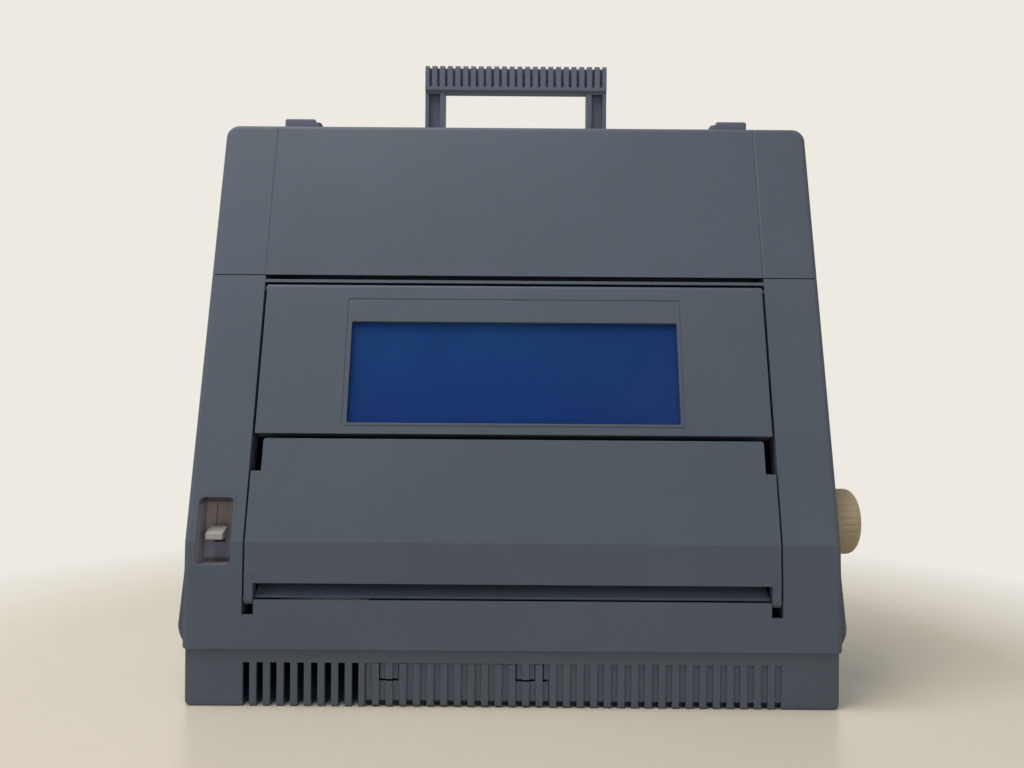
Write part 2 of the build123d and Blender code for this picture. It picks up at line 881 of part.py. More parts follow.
# Cord compartment door, notched for two tongues of the band, and the mains inlet
with BuildPart() as cord_door:
    outer = (door_left + door_gap, door_right - door_gap)
    inner = (compartment_left + door_gap, compartment_right - door_gap)
    block(outer, (band_y, band_y + door_thickness), (2 * door_gap, groove_top - door_gap))
    block(inner, (band_y, band_y + door_lip), (2 * door_gap, 2 * door_gap + door_thickness))
    lower_edge = cord_door.edges().filter_by(Axis.X).group_by(Axis.Z)[0].sort_by(Axis.Y)[0]
    fillet(lower_edge, band_edge_radius)
    for index in range(door_first_groove, door_last_groove + 2):
        across = (groove_x(index), groove_x(index) + groove_width)
        block(across, (band_y - 1, band_y + groove_depth), (-1, groove_top), Mode.SUBTRACT)
        block(across, (band_y - 1, band_y + notch_depth), (-1, notch_height), Mode.SUBTRACT)
    for across in tongue_spans:
        block(across, (band_y - 1, band_y + wall), (tongue_bottom, groove_top), Mode.SUBTRACT)

with BuildPart() as mains_inlet:
    across = (inlet_x - inlet_width / 2, inlet_x + inlet_width / 2)
    up = (inlet_z - inlet_height / 2, inlet_z + inlet_height / 2)
    block(across, (compartment_floor - switch_rim, compartment_floor), up)
    block(
        (across[0] + switch_rim, across[1] - switch_rim),
        (compartment_floor - switch_rim, compartment_floor + inlet_depth),
        (up[0] + switch_rim, up[1] - switch_rim),
    )
    block(
        (across[0] + 2 * switch_rim, across[1] - 2 * switch_rim),
        (compartment_floor - switch_rim - 1, compartment_floor + inlet_depth - switch_rim),
        (up[0] + 2 * switch_rim, up[1] - 2 * switch_rim),
        Mode.SUBTRACT,
    )
    for step in (-1, 0, 1):
        block(
            (inlet_x + step * inlet_width / 5 - 1, inlet_x + step * inlet_width / 5 + 1),
            (compartment_floor + 2, compartment_floor + inlet_depth - switch_rim),
            (inlet_z - 2, inlet_z + 2),
        )


# Release lever: recess plate, lever with its shield, and shaft
def turned(angle, radius, centre_y, centre_z):
    """Point (y, z) at an angle from +Y towards +Z around a centre."""
    return (centre_y + radius * cos(radians(angle)), centre_z + radius * sin(radians(angle)))


lever_x = (lever_left + lever_right) / 2 - 1.0
slot_half = 3.4

with BuildPart() as lever_escutcheon:
    side_slab(
        [
            (face_y(lever_bottom - plate_wall), lever_bottom - plate_wall),
            (face_y(lever_bottom - plate_wall) + lever_depth, lever_bottom - plate_wall),
            (face_y(lever_top) + lever_depth, lever_top + plate_wall),
            (face_y(lever_top), lever_top + plate_wall),
            (crease_y, crease_z),
        ],
        (lever_left - plate_wall, lever_right + plate_wall),
    )
    side_slab(
        [
            (deck_y - 1, lever_bottom),
            (face_y(lever_bottom) + lever_depth - plate_wall, lever_bottom),
            (face_y(lever_top) + lever_depth - plate_wall, lever_top),
            (deck_y - 1, lever_top),
        ],
        (lever_left, lever_right),
        Mode.SUBTRACT,
    )
    recess_edges = [
        edge
        for edge in lever_escutcheon.edges()
        if lever_left - 0.1 < edge.center().X < lever_right + 0.1
        and lever_bottom - 0.1 < edge.center().Z < lever_top + 0.1
        and face_y(edge.center().Z) + 2 < edge.center().Y
        and edge.center().Y < face_y(edge.center().Z) + lever_depth - plate_wall + 1
    ]
    fillet(recess_edges, recess_corner)
    block(
        (lever_x - slot_half, lever_x + slot_half),
        (crease_y + 5, 0),
        (lever_bottom + 11.0, lever_top - 5.5),
        Mode.SUBTRACT,
    )

with BuildPart() as paper_release_lever:
    tip_z = (lever_bottom + lever_top) / 2 - lever_drop
    arm_half = lever_tab_thickness / 2
    side_slab(
        [
            (lever_tab_y, tip_z - arm_half),
            (lever_tab_y + 20, tip_z - arm_half - 1.0),
            (lever_pivot_y, lever_pivot_z - release_shaft_radius - 2),
            (lever_pivot_y, lever_pivot_z + release_shaft_radius + 2),
            (lever_tab_y + 20, tip_z + arm_half + 1.0),
            (lever_tab_y, tip_z + arm_half),
        ],
        (lever_x - 2.6, lever_x + 2.6),
    )
    x_rod((lever_x - 2.6, lever_x + 2.6), lever_pivot_y, lever_pivot_z, release_shaft_radius + 3)
    side_slab(
        [
            (lever_tab_y, tip_z - arm_half),
            (lever_tab_y + lever_tab_depth, tip_z - arm_half + 1.0),
            (lever_tab_y + lever_tab_depth, tip_z + arm_half + lever_tab_rise),
            (lever_tab_y, tip_z + arm_half),
        ],
        (lever_x - lever_tab_width / 2, lever_x + lever_tab_width / 2),
    )
    with BuildSketch(Plane.YZ.offset(lever_x - slot_half - wall)) as shield:
        with Locations((lever_pivot_y, lever_pivot_z)):
            Circle(shield_radius)
            Circle(shield_radius - 1.0, mode=Mode.SUBTRACT)
        with Locations((lever_pivot_y - shield_radius, lever_pivot_z - 1.5)):
            Rectangle(shield_radius, shield_height, mode=Mode.INTERSECT)
    extrude(shield.sketch, amount=2 * (slot_half + wall))
    x_rod((lever_x - 5, lever_x + 5), lever_pivot_y, lever_pivot_z, release_shaft_radius, Mode.SUBTRACT)

frame_outer = frame_offset + frame_thickness
feed_y, feed_z = turned(feed_angle, platen_radius + feed_radius + 0.3, platen_y, platen_z)
with BuildPart() as release_shaft:
    x_rod((lever_x - 2.6, frame_outer), lever_pivot_y, lever_pivot_z, release_shaft_radius)
    reach = 0.80 * ((lever_pivot_y - feed_y) ** 2 + (lever_pivot_z - feed_z) ** 2) ** 0.5
    finger = degrees(atan2(feed_z - lever_pivot_z, feed_y - lever_pivot_y))
    tip = turned(finger, reach, lever_pivot_y, lever_pivot_z)
    edge_a = turned(finger + 90, release_shaft_radius, lever_pivot_y, lever_pivot_z)
    edge_b = turned(finger - 90, release_shaft_radius, lever_pivot_y, lever_pivot_z)
    for x in both_sides((0.3 * platen_length, 0.3 * platen_length + 5)):
        side_slab([edge_a, tip, edge_b], x)


# Platen, knob and feed gears
knob_x = half_width + knob_gap
gear_x = frame_outer + 1.0
idler_distance = gear_module * (platen_teeth + idler_teeth) / 2 + gear_play
pinion_distance = gear_module * (idler_teeth + pinion_teeth) / 2 + gear_play
idler_y, idler_z = turned(feed_angle, idler_distance, platen_y, platen_z)
pinion_y, pinion_z = turned(feed_angle, idler_distance + pinion_distance, platen_y, platen_z)
stud_radius = 3.0

with BuildPart() as platen_shaft:
    x_rod((-frame_outer - 2, knob_x + knob_length - wall), platen_y, platen_z, shaft_radius)

with BuildPart() as platen_roller:
    x_rod((-platen_length / 2, platen_length / 2), platen_y, platen_z, platen_radius)
    x_rod((-platen_length / 2, platen_length / 2), platen_y, platen_z, shaft_radius, Mode.SUBTRACT)

with BuildPart() as platen_knob:
    x_rod((knob_x, knob_x + knob_length), platen_y, platen_z, knob_radius)
    fillet(platen_knob.edges().sort_by(Axis.X)[-1], knob_edge_radius)
    with BuildSketch(Plane.YZ.offset(knob_x - 1)) as flutes:
        with Locations((platen_y, platen_z)):
            with PolarLocations(knob_radius + 1.2, 30):
                Circle(1.6)
    extrude(flutes.sketch, amount=knob_length, mode=Mode.SUBTRACT)
    x_rod((knob_x, knob_x + knob_length - wall), platen_y, platen_z, shaft_radius, Mode.SUBTRACT)


def make_gear(centre_y, centre_z, teeth, turn, bore):
    """Spur gear outside the right side frame."""
    plane = Plane(origin=(gear_x, centre_y, centre_z), x_dir=(0, 1, 0), z_dir=(1, 0, 0))
    with BuildPart() as gear:
        extrude(gear_outline(plane, teeth, turn), amount=gear_width)
        x_rod((gear_x, gear_x + gear_width), centre_y, centre_z, bore, Mode.SUBTRACT)
    return gear


idler_half_tooth = 180.0 / idler_teeth
back_angle = feed_angle + 180
platen_gear = make_gear(platen_y, platen_z, platen_teeth, feed_angle, shaft_radius)
idler_gear = make_gear(
    idler_y, idler_z, idler_teeth, back_angle + idler_half_tooth, stud_radius + running_clearance
)
with BuildPart() as feed_motor_pinion:
    pinion_plane = Plane(origin=(gear_x, pinion_y, pinion_z), x_dir=(0, 1, 0), z_dir=(1, 0, 0))
    idler_turn = (back_angle + idler_half_tooth - feed_angle) % (360.0 / idler_teeth)
    pinion_turn = back_angle + 180.0 / pinion_teeth * (1 if idler_turn < 0.01 else 0)
    extrude(gear_outline(pinion_plane, pinion_teeth, pinion_turn), amount=gear_width)
    x_rod((frame_offset - 6, gear_x + gear_width), pinion_y, pinion_z, motor_shaft_radius)

with BuildPart() as feed_motor:
    x_rod((frame_offset - motor_length, frame_offset), pinion_y, pinion_z, motor_radius)
    x_rod(
        (frame_offset - 7, frame_offset + 1),
        pinion_y,
        pinion_z,
        motor_shaft_radius + running_clearance,
        Mode.SUBTRACT,
    )

with BuildPart() as feed_rollers:
    x_rod((-frame_outer, frame_outer), feed_y, feed_z, feed_shaft_radius)
    for index in range(4):
        centre = (index - 1.5) * platen_length / 4
        x_rod((centre - feed_length / 2, centre + feed_length / 2), feed_y, feed_z, feed_radius)

# Paper guide: a slanting chute that runs into a pan around the platen
pan_radius = platen_radius + pan_gap
lip_y = face_y(bay_bottom) + wall + 0.2
lip_z = bay_bottom + 1.6
chord = ((lip_y - platen_y) ** 2 + (lip_z - platen_z) ** 2) ** 0.5
lip_angle = degrees(atan2(lip_z - platen_z, lip_y - platen_y)) + 360
pan_start = lip_angle + degrees(acos(pan_radius / chord))
pan_end = 400.0
with BuildPart() as paper_guide:
    with BuildSketch(Plane.YZ.offset(-frame_offset)) as pan:
        with BuildLine():
            inner_start = turned(pan_start, pan_radius, platen_y, platen_z)
            inner_mid = turned((pan_start + pan_end) / 2, pan_radius, platen_y, platen_z)
            inner_end = turned(pan_end, pan_radius, platen_y, platen_z)
            outer_radius = pan_radius + pan_thickness
            outer_start = turned(pan_start, outer_radius, platen_y, platen_z)
            outer_mid = turned((pan_start + pan_end) / 2, outer_radius, platen_y, platen_z)
            outer_end = turned(pan_end, outer_radius, platen_y, platen_z)
            lip_normal = turned(pan_start, pan_thickness, 0, 0)
            Line((lip_y, lip_z), inner_start)
            ThreePointArc(inner_start, inner_mid, inner_end)
            Line(inner_end, outer_end)
            ThreePointArc(outer_end, outer_mid, outer_start)
            Line(outer_start, (lip_y + lip_normal[0], lip_z + lip_normal[1]))
            Line((lip_y + lip_normal[0], lip_z + lip_normal[1]), (lip_y, lip_z))
        make_face()
    extrude(pan.sketch, amount=2 * frame_offset)
    for x in both_sides((bay_half - slot_width, bay_half + wall)):
        block(x, (deck_y, face_y(bay_bottom) + bay_flange_depth + 1), (0, platen_z), Mode.SUBTRACT)
    for index in range(4):
        centre = (index - 1.5) * platen_length / 4
        x_rod(
            (centre - feed_length / 2 - 1, centre + feed_length / 2 + 1),
            feed_y,
            feed_z,
            feed_radius + 1,
            Mode.SUBTRACT,
        )

# Paper bail and its rollers
bail_distance = platen_radius + bail_roller_radius + 0.3
bail_y, bail_z = turned(bail_angle, bail_distance, platen_y, platen_z)
bail_pivot_z = bail_z - bail_arm
arm_gap = (platen_length / 2 + 1.0, platen_length / 2 + 2.5)
with BuildPart() as paper_bail:
    x_rod((-arm_gap[1], arm_gap[1]), bail_y, bail_z, bail_rod_radius)
    for x in both_sides(arm_gap):
        block(x, (bail_y - 1.5, bail_y + 2.5), (bail_pivot_z, bail_z + 1.6))
        x_rod(x, bail_y, bail_pivot_z, 3.0)
    for x in both_sides((arm_gap[0], frame_outer)):
        x_rod(x, bail_y, bail_pivot_z, pin_radius)

with BuildPart() as bail_rollers:
    for share in (-0.33, -0.17, 0.17, 0.33):
        centre = share * platen_length
        x_rod((centre - 9, centre + 9), bail_y, bail_z, bail_roller_radius)
        x_rod((centre - 9, centre + 9), bail_y, bail_z, bail_rod_radius + running_clearance, Mode.SUBTRACT)


# Side frames that carry the shafts and guide rods, standing on the floor of the tray
with BuildPart() as side_frames:
    for x in both_sides((frame_offset, frame_outer)):
        side_slab(
            [
                (floor_y, 58),
                (pinion_y + motor_radius, pinion_z - motor_radius),
                (platen_y - motor_radius, platen_z - 14),
                (bail_y - 5, bail_pivot_z - 4),
                (bail_y - 5, bail_pivot_z + 5),
                (platen_y, platen_z + 20),
                (rod_y - 30, rod_high_z + 16),
                (floor_y, rod_high_z + 16),
            ],
            x,
        )
        x_rod(x, platen_y, platen_z, shaft_radius + running_clearance, Mode.SUBTRACT)
        x_rod(x, feed_y, feed_z, feed_shaft_radius + running_clearance, Mode.SUBTRACT)
        x_rod(x, lever_pivot_y, lever_pivot_z, release_shaft_radius + running_clearance, Mode.SUBTRACT)
        x_rod(x, bail_y, bail_pivot_z, pin_radius + running_clearance, Mode.SUBTRACT)
        x_rod(x, rod_y, rod_low_z, rod_radius, Mode.SUBTRACT)
        x_rod(x, rod_y, rod_high_z, rod_radius, Mode.SUBTRACT)
    x_rod((frame_outer, gear_x + gear_width + 1), idler_y, idler_z, stud_radius)
    x_rod((frame_offset, frame_outer), pinion_y, pinion_z, motor_shaft_radius + 1, Mode.SUBTRACT)

with BuildPart() as guide_rods:
    for z in (rod_low_z, rod_high_z):
        x_rod((-frame_outer, frame_outer), rod_y, z, rod_radius)

# Carriage with print wheel, hammer, cassette and correction spools
cheek = (carriage_half_width - 2, carriage_half_width)
bearing_y = (rod_y - 7, rod_y + 7)
plate_z = wheel_z + 7
motor_top = plate_z + 3 + wheel_motor_length
solenoid_z = (wheel_z + 12, cassette_top - 2)
clamp_y = (belt_y - belt_width / 2 - 1.2, belt_y + belt_width / 2 + 1.2)
lower_run = (belt_z - pulley_radius - belt_thickness - 0.1, belt_z - pulley_radius - 0.1)
with BuildPart() as carriage_frame:
    block((-carriage_half_width, carriage_half_width), bearing_y, (rod_low_z - 6, rod_high_z + 6))
    block(
        (-carriage_half_width + 12, carriage_half_width - 12),
        (bearing_y[0] - 1, bearing_y[1] + 1),
        (rod_low_z + 7, rod_high_z - 7),
        Mode.SUBTRACT,
    )
    for x in both_sides(cheek):
        side_slab(
            [
                (bearing_y[0], wheel_z + 3),
                (bearing_y[0], rod_high_z + 6),
                (tray_y + 24, rod_high_z + 6),
                (tray_y, cassette_top),
                (tray_y, wheel_z + 5),
            ],
            x,
        )
    block((-cheek[1], cheek[1]), (-cheek[0] + 15, bearing_y[0]), (plate_z, plate_z + 3))
    z_rod(0, wheel_y, (plate_z - 1, plate_z + 4), shaft_radius + 2, Mode.SUBTRACT)
    block((-cheek[1], cheek[1]), (tray_y, tray_y + tray_thickness), (wheel_z + 5, cassette_top))
    block((-clamp_half_width, clamp_half_width), clamp_y, (rod_high_z - 2, lower_run[1] + 2.5))
    clamp_z = (rod_high_z - 2, rod_high_z + 2)
    block((-clamp_half_width, clamp_half_width), (clamp_y[0], bearing_y[0] + 1), clamp_z)
    block(
        (-clamp_half_width - 1, clamp_half_width + 1),
        (clamp_y[0] + 0.9, clamp_y[1] - 0.9),
        (lower_run[0] - 0.3, lower_run[1] + 0.3),
        Mode.SUBTRACT,
    )
    for z in (rod_low_z, rod_high_z):
        x_rod(
            (-carriage_half_width - 1, carriage_half_width + 1),
            rod_y,
            z,
            rod_radius + running_clearance,
            Mode.SUBTRACT,
        )

with BuildPart() as wheel_motor:
    z_rod(0, wheel_y, (plate_z + 3, motor_top), wheel_motor_radius)
    z_rod(0, wheel_y, (plate_z + 2, motor_top - 6), 2.0 + running_clearance, Mode.SUBTRACT)

with BuildPart() as print_wheel:
    z_rod(0, wheel_y, (wheel_z, wheel_z + wheel_thickness), 0.42 * wheel_radius)
    z_rod(0, wheel_y, (wheel_z - 1.4, wheel_z + 4), shaft_radius + 1)
    z_rod(0, wheel_y, (wheel_z, motor_top - 7), 2.0)
    with BuildSketch(Plane.XY.offset(wheel_z)) as petals:
        with Locations((0, wheel_y)):
            with PolarLocations(0.7 * wheel_radius, petal_count):
                Rectangle(0.6 * wheel_radius, 1.1)
            with PolarLocations(wheel_radius - 1.6, petal_count):
                Rectangle(3.2, 2.2)
    extrude(petals.sketch, amount=wheel_thickness)

with BuildPart() as hammer_solenoid:
    block((-9, 9), (tray_y + tray_thickness, platen_y + 13), solenoid_z)
    bore_z = (solenoid_z[0] - 1, solenoid_z[1] - 2)
    z_rod(0, platen_y, bore_z, hammer_radius + running_clearance, Mode.SUBTRACT)

with BuildPart() as print_hammer:
    z_rod(0, platen_y, (wheel_z + wheel_thickness + hammer_gap, solenoid_z[1] - 3), hammer_radius)

cassette_y = (tray_y - cassette_depth, tray_y)
cassette_z = (wheel_z + 5, cassette_top - 2)
with BuildPart() as ribbon_cassette:
    block((-carriage_half_width, carriage_half_width), cassette_y, cassette_z)
    fillet(ribbon_cassette.edges().filter_by(Axis.Y), 3.0)
    for x in both_sides((20, 26)):
        block(x, (tray_y - 1.0, tray_y + 8), (wheel_z - 1.6, cassette_z[0] - 0.4))
        block(x, (tray_y - 1.0, tray_y - 0.2), (wheel_z - 1.6, cassette_z[0] + 2))
    block((-20, 20), (tray_y, tray_y + 8), (wheel_z - 1.4, wheel_z - 1.1))


def make_spool(x):
    """Correction tape spool on its pin beneath the carriage's top plate."""
    spool_y = (tray_y + tray_thickness + 0.3, tray_y + tray_thickness + 10.3)
    with BuildPart() as spool:
        y_rod(x, spool_y, cassette_top - 12, spool_radius - 2)
        y_rod(x, (spool_y[0], spool_y[0] + 1), cassette_top - 12, spool_radius)
        y_rod(x, (spool_y[1] - 1, spool_y[1]), cassette_top - 12, spool_radius)
    return spool


supply_spool = make_spool(-22.5)
take_up_spool = make_spool(22.5)

# Belt drive of the carriage
loop_outer = pulley_radius + 0.1 + belt_thickness
loop_inner = pulley_radius + 0.1
with BuildPart() as carriage_belt:
    with BuildSketch(Plane.XZ.offset(-belt_y - belt_width / 2)) as loop:
        with Locations((0, belt_z)):
            SlotCenterToCenter(2 * pulley_x, 2 * loop_outer)
            SlotCenterToCenter(2 * pulley_x, 2 * loop_inner, mode=Mode.SUBTRACT)
    extrude(loop.sketch, amount=belt_width)


def pulley_body(x, bore):
    """Flanged pulley with its axis along Y, in the current part."""
    y_rod(x, (belt_y - belt_width / 2 - 1.0, belt_y + belt_width / 2 + 1.0), belt_z, pulley_radius)
    for side in (-1, 1):
        inner_face = belt_y + side * (belt_width / 2 + 0.2)
        y_rod(x, (inner_face, inner_face + side * 0.8), belt_z, pulley_flange)
    if bore > 0:
        y_rod(x, (belt_y - belt_width, belt_y + belt_width), belt_z, bore, Mode.SUBTRACT)


with BuildPart() as drive_pulley:
    pulley_body(pulley_x, 0.0)
    y_rod(pulley_x, (belt_y, motor_y + drive_motor_length - 6), belt_z, pulley_axle_radius)

with BuildPart() as idle_pulley:
    pulley_body(-pulley_x, pulley_axle_radius + running_clearance)

with BuildPart() as carriage_motor:
    y_rod(pulley_x, (motor_y, motor_y + drive_motor_length), belt_z, drive_motor_radius)
    bore_y = (motor_y - 1, motor_y + drive_motor_length - 5)
    y_rod(pulley_x, bore_y, belt_z, pulley_axle_radius + running_clearance, Mode.SUBTRACT)

# Transformer, boards and their parts
core_y = (floor_y - core_height, floor_y)
core_x = (core_left, core_left + core_width)
window_x = (core_width - 2 * limb_width * 0.6 - limb_width) / 2
limb_x = (core_left + core_width / 2 - limb_width / 2, core_left + core_width / 2 + limb_width / 2)
core_bar = 0.5 * limb_width
with BuildPart() as transformer_core:
    block(core_x, core_y, (core_z, core_z + core_stack))
    for near, far in ((limb_x[0] - window_x, limb_x[0]), (limb_x[1], limb_x[1] + window_x)):
        block(
            (near, far),
            (core_y[0] + core_bar, core_y[1] - core_bar),
            (core_z - 1, core_z + core_stack + 1),
            Mode.SUBTRACT,
        )

with BuildPart() as transformer_coil:
    block(
        (limb_x[0] - window_x + 0.3, limb_x[1] + window_x - 0.3),
        (core_y[0] + core_bar, core_y[1] - core_bar),
        (core_z - coil_overhang, core_z + core_stack + coil_overhang),
    )
    block(limb_x, (core_y[0], core_y[1]), (core_z, core_z + core_stack), Mode.SUBTRACT)

power_z = (power_board_z, power_board_z + power_board_length)
with BuildPart() as power_board:
    block((power_left, -power_left), (board_y, board_y + board_thickness), power_z)

with BuildPart() as power_board_parts:
    for index, (radius, height) in enumerate([(11.0, 30.0), (8.0, 24.0), (8.0, 24.0), (5.0, 14.0)]):
        x = power_left + 18 + index * 22
        y_rod(x, (board_y - height, board_y), power_z[0] + 16, radius)
    block((-power_left - 50, -power_left - 8), (board_y - 26, board_y), (power_z[0] + 8, power_z[0] + 11))
    for index in range(5):
        left = -power_left - 48 + index * 8.6
        block((left, left + 3), (board_y - 20, board_y), (power_z[0] + 11, power_z[0] + 17))
    block((power_left + 14, power_left + 36), (board_y - 9, board_y), (power_z[1] - 16, power_z[1] - 8))

main_z = (main_board_z, main_board_z + main_board_length)
with BuildPart() as main_board:
    block((main_left, -main_left), (board_y, board_y + board_thickness), main_z)

with BuildPart() as main_board_chips:
    for index in range(6):
        left = main_left + 20 + index * 33
        block((left, left + 14), (board_y - 4, board_y), (main_z[0] + 12, main_z[0] + 52))
    for index in range(3):
        left = main_left + 24 + index * 60
        block((left, left + 40), (board_y - 8, board_y), (main_z[1] - 12, main_z[1] - 5))


# Keyboard: frame with the key well, board with its switches, rows of key caps
block_columns = 15
side_columns = 2
row_count = 5
key_block_width = (block_columns + side_columns + 0.5) * key_pitch
key_left = -key_block_width / 2
deck_half = half_width - wall - deck_side_gap
deck_front_z = front_inner_z - seam_gap
well_u = (first_row_u, first_row_u + row_count * key_pitch)
board_u = (well_u[0] + 1.5, well_u[1] + 1.0)

with BuildPart() as keyboard_frame:
    side_slab(
        [
            (offset_face(seam_z, deck_depth), seam_z),
            (offset_face(deck_front_z, deck_depth), deck_front_z),
            (parting_y, deck_front_z),
            (parting_y, seam_z),
        ],
        (-deck_half, deck_half),
    )
    side_slab(
        [
            (offset_face(seam_z + deck_thickness, deck_depth + deck_thickness), seam_z + deck_thickness),
            (
                offset_face(deck_front_z - deck_thickness, deck_depth + deck_thickness),
                deck_front_z - deck_thickness,
            ),
            (parting_y + 1, deck_front_z - deck_thickness),
            (parting_y + 1, seam_z + deck_thickness),
        ],
        (-deck_half + 2 * deck_thickness, deck_half - 2 * deck_thickness),
        Mode.SUBTRACT,
    )
    face_slab(
        (key_left - key_gap, -key_left + key_gap),
        (well_u[0] - key_gap, well_u[1] + key_gap),
        (deck_depth - 1, deck_depth + 2 * deck_thickness),
        Mode.SUBTRACT,
    )
    for x in both_sides((-key_left + 2, -key_left + 8)):
        face_slab(x, board_u, (deck_depth + deck_thickness - 0.5, keyboard_board_depth))


def row_keys(row):
    """Centres along X and widths of the keys of a row, in key pitches from the left."""
    if row == 0:
        main = [(index + 0.5, 1.0) for index in range(15)]
    elif row == 1:
        main = [(0.75, 1.5)] + [(index + 2.0, 1.0) for index in range(12)] + [(14.25, 1.5)]
    elif row == 2:
        main = [(0.875, 1.75)] + [(index + 2.25, 1.0) for index in range(11)] + [(13.875, 2.25)]
    elif row == 3:
        main = [(1.125, 2.25)] + [(index + 2.75, 1.0) for index in range(10)] + [(13.625, 2.75)]
    else:
        main = [(1.0, 2.0), (2.75, 1.5), (12.25, 1.5), (14.0, 2.0)]
    side = [(15.5 + index + 0.5, 1.0) for index in range(side_columns)]
    return main + side


def add_key(centre, width, row):
    """Tapered key cap with its stem, in the current part."""
    x = key_left + centre * key_pitch
    u = first_row_u + (row + 0.5) * key_pitch
    across = width * key_pitch - key_gap
    along = key_pitch - key_gap
    with BuildSketch(face_plane.offset(-key_top_depth - key_height)) as cap:
        with Locations((x, u)):
            RectangleRounded(across, along, 1.2)
    extrude(cap.sketch, amount=key_height, taper=key_taper)
    with BuildSketch(face_plane.offset(-key_top_depth - key_height - stem_length)) as stem:
        with Locations((x, u)):
            Circle(stem_radius)
    extrude(stem.sketch, amount=stem_length + 1)


def make_key_row(row):
    """All key caps of one row."""
    with BuildPart() as keys:
        for centre, width in row_keys(row):
            add_key(centre, width, row)
    return keys


number_row_keys = make_key_row(0)
upper_row_keys = make_key_row(1)
home_row_keys = make_key_row(2)
lower_row_keys = make_key_row(3)
function_keys = make_key_row(4)
space_centre = 7.5
space_width = 8.0
with BuildPart() as space_bar:
    add_key(space_centre, space_width, 4)

with BuildPart() as keyboard_board:
    face_slab(
        (key_left - 8, -key_left + 8),
        board_u,
        (keyboard_board_depth, keyboard_board_depth + board_thickness),
    )
    for row in range(row_count):
        extra = [(space_centre, space_width)] if row == 4 else []
        for centre, width in row_keys(row) + extra:
            x = key_left + centre * key_pitch
            u = first_row_u + (row + 0.5) * key_pitch
            face_slab(
                (x - switch_size / 2, x + switch_size / 2),
                (u - switch_size / 2, u + switch_size / 2),
                (switch_top_depth, keyboard_board_depth),
            )
            with BuildSketch(face_plane.offset(-keyboard_board_depth)) as bore:
                with Locations((x, u)):
                    Circle(stem_radius + running_clearance)
            extrude(bore.sketch, amount=keyboard_board_depth - switch_top_depth + 1, mode=Mode.SUBTRACT)


# Power switch, feet and screws
with BuildPart() as switch_housing:
    side_x = (-half_width - switch_rim_height, -half_width + switch_body_depth)
    reach_y = (switch_y - switch_width / 2, switch_y + switch_width / 2)
    reach_z = (switch_z - switch_length / 2, switch_z + switch_length / 2)
    block((-half_width, side_x[1]), reach_y, reach_z)
    block(
        (side_x[0], -half_width),
        (reach_y[0] - switch_rim, reach_y[1] + switch_rim),
        (reach_z[0] - switch_rim, reach_z[1] + switch_rim),
    )
    block(
        (side_x[0] - 1, -half_width + 6),
        (reach_y[0] + switch_rim, reach_y[1] - switch_rim),
        (reach_z[0] + switch_rim, reach_z[1] - switch_rim),
        Mode.SUBTRACT,
    )
    rocker_x = -half_width + switch_pin_depth
    y_rod(rocker_x, reach_y, switch_z, switch_pin_radius)

with BuildPart() as power_switch:
    rocker_half = switch_length / 2 - switch_rim - 0.7
    rocker_width = switch_width / 2 - switch_rim - 0.3
    rocker_y = (switch_y - rocker_width, switch_y + rocker_width)
    with BuildSketch(Plane.XZ.offset(-rocker_y[1])) as rocker:
        with BuildLine():
            Polyline(
                (-half_width - 3.4, switch_z + rocker_half - 0.8),
                (-half_width - 0.9, switch_z),
                (-half_width - 0.9, switch_z - rocker_half + 0.3),
                (-half_width + 2.4, switch_z - rocker_half + 0.6),
                (-half_width + 4.2, switch_z),
                (-half_width + 1.4, switch_z + rocker_half - 0.8),
                close=True,
            )
        make_face()
    extrude(rocker.sketch, amount=rocker_y[1] - rocker_y[0])
    bore_radius = switch_pin_radius + running_clearance
    y_rod(rocker_x, (rocker_y[0] - 1, rocker_y[1] + 1), switch_z, bore_radius, Mode.SUBTRACT)

with BuildPart() as rubber_feet:
    for x, z in feet_places:
        y_rod(x, (base_y, base_y + foot_height), z, foot_radius)
    outer_rims = rubber_feet.edges().group_by(Axis.Y)[-1]
    fillet(outer_rims, 1.5)

with BuildPart() as case_screws:
    for x, z in post_places:
        head_y = base_y - wall - screw_head
        y_rod(x, (head_y - screw_length, head_y), z, screw_radius)
        y_rod(x, (head_y, head_y + screw_head), z, screw_head_radius)
        block((x - 2, x + 2), (head_y + 1.4, head_y + 3), (z - 0.4, z + 0.4), Mode.SUBTRACT)
        block((x - 0.4, x + 0.4), (head_y + 1.4, head_y + 3), (z - 2, z + 2), Mode.SUBTRACT)


